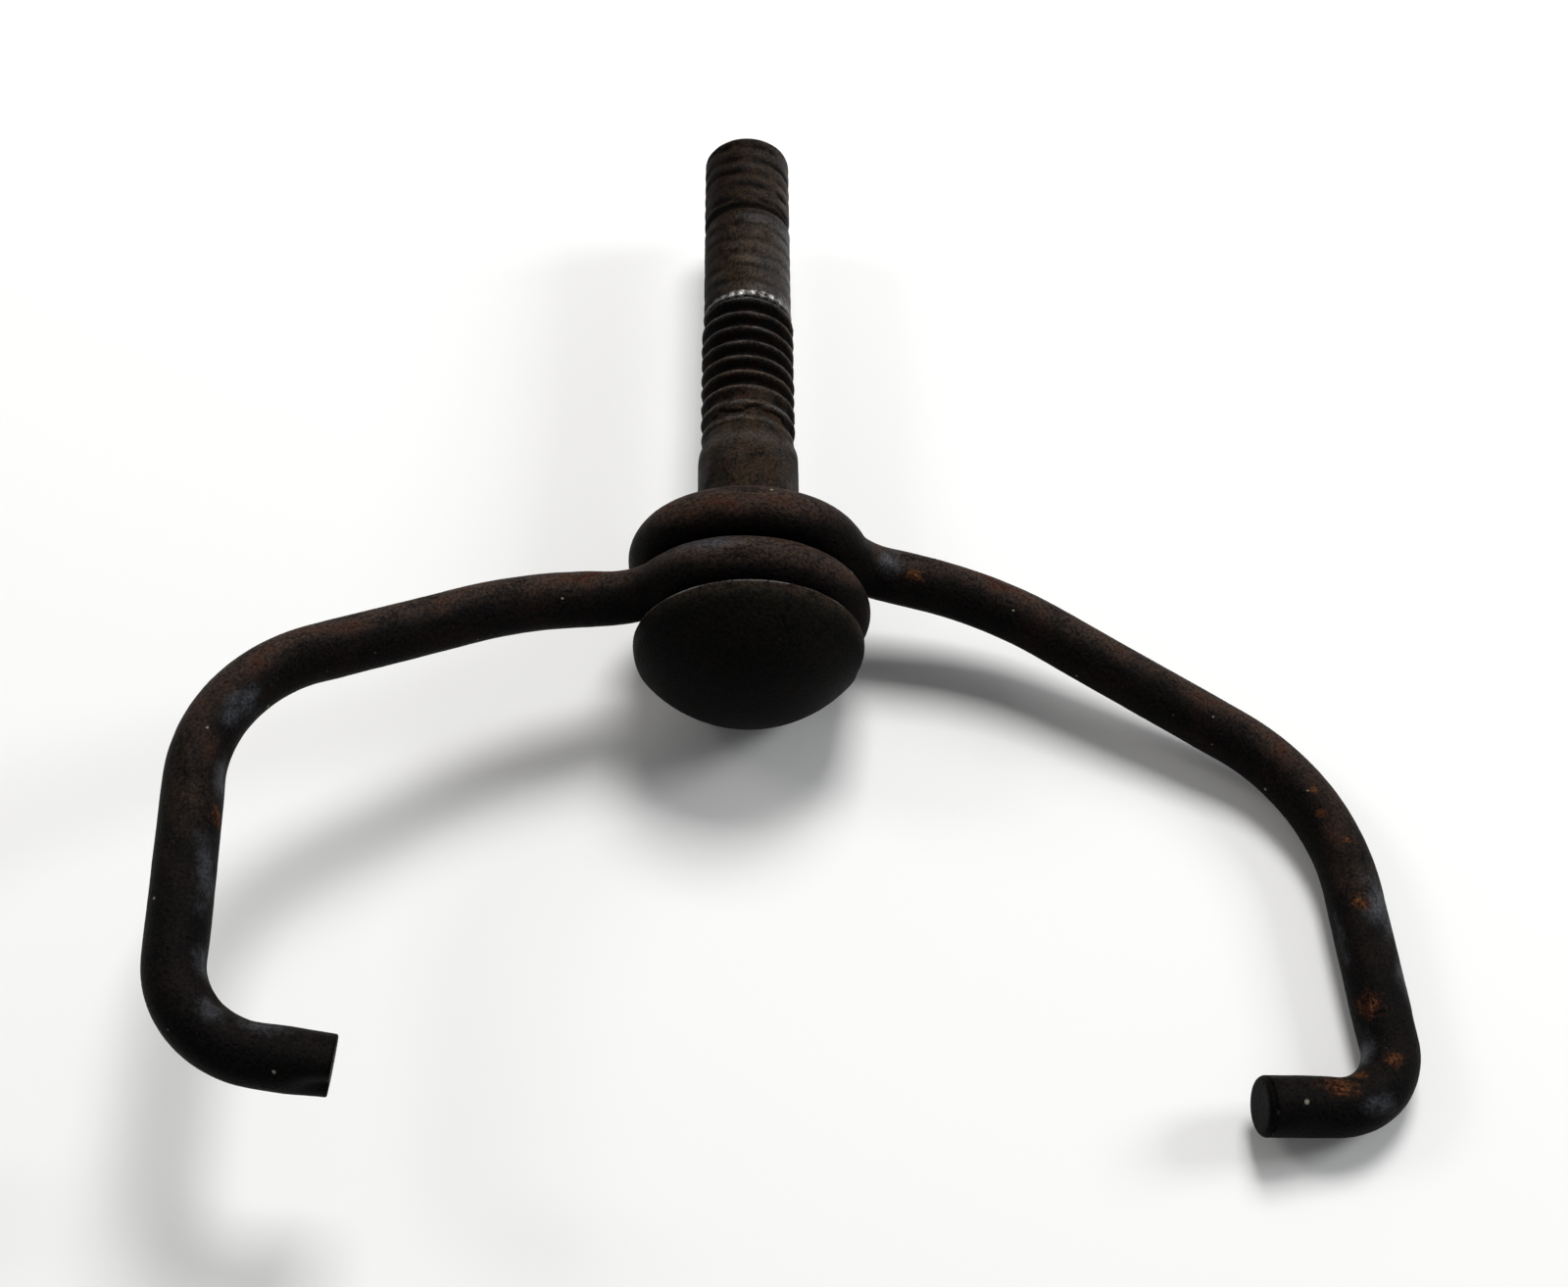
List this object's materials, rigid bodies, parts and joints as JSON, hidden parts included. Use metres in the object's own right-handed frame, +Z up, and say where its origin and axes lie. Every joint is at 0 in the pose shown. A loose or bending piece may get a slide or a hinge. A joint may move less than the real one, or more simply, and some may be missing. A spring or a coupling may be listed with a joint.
{
  "type": "two-hook clamp bolt",
  "caption": "Dome-headed threaded stud whose shoulder carries swivelling round-rod arms that end in inward hooks.",
  "frame": {"origin": "centre of the bounding box at floor level, as the part lies on a table on the rim of its head and its right arm", "axes": "+Y along the stud toward its tip, +Z up from the table, +X toward the right arm seen from the head end"},
  "size_m": [0.0714, 0.0724, 0.0155],
  "materials": {
    "bolt_steel": "black-brown oxidised steel, rust tinted, worn bright in places on the stud",
    "left_arm_steel": "black-brown oxidised steel rod with a faint rust bloom",
    "right_arm_steel": "black-brown oxidised steel rod with orange rust spots"
  },
  "bodies": {
    "bolt": {"dome_head_bolt": "bolt_steel"},
    "left_arm": {"left_hook_arm": "left_arm_steel"},
    "right_arm": {"right_hook_arm": "right_arm_steel"}
  },
  "joints": [
    {"name": "left_arm_swivel", "type": "hinge", "parent": "bolt", "child": "left_arm", "pos_m": [-0.00299, -0.00283, 0.0072], "axis": [0, 1, 0], "range_deg": [-80, 80]},
    {"name": "right_arm_swivel", "type": "hinge", "parent": "bolt", "child": "right_arm", "pos_m": [-0.00299, 0.00099, 0.0072], "axis": [0, 1, 0], "range_deg": [-80, 80]}
  ]
}
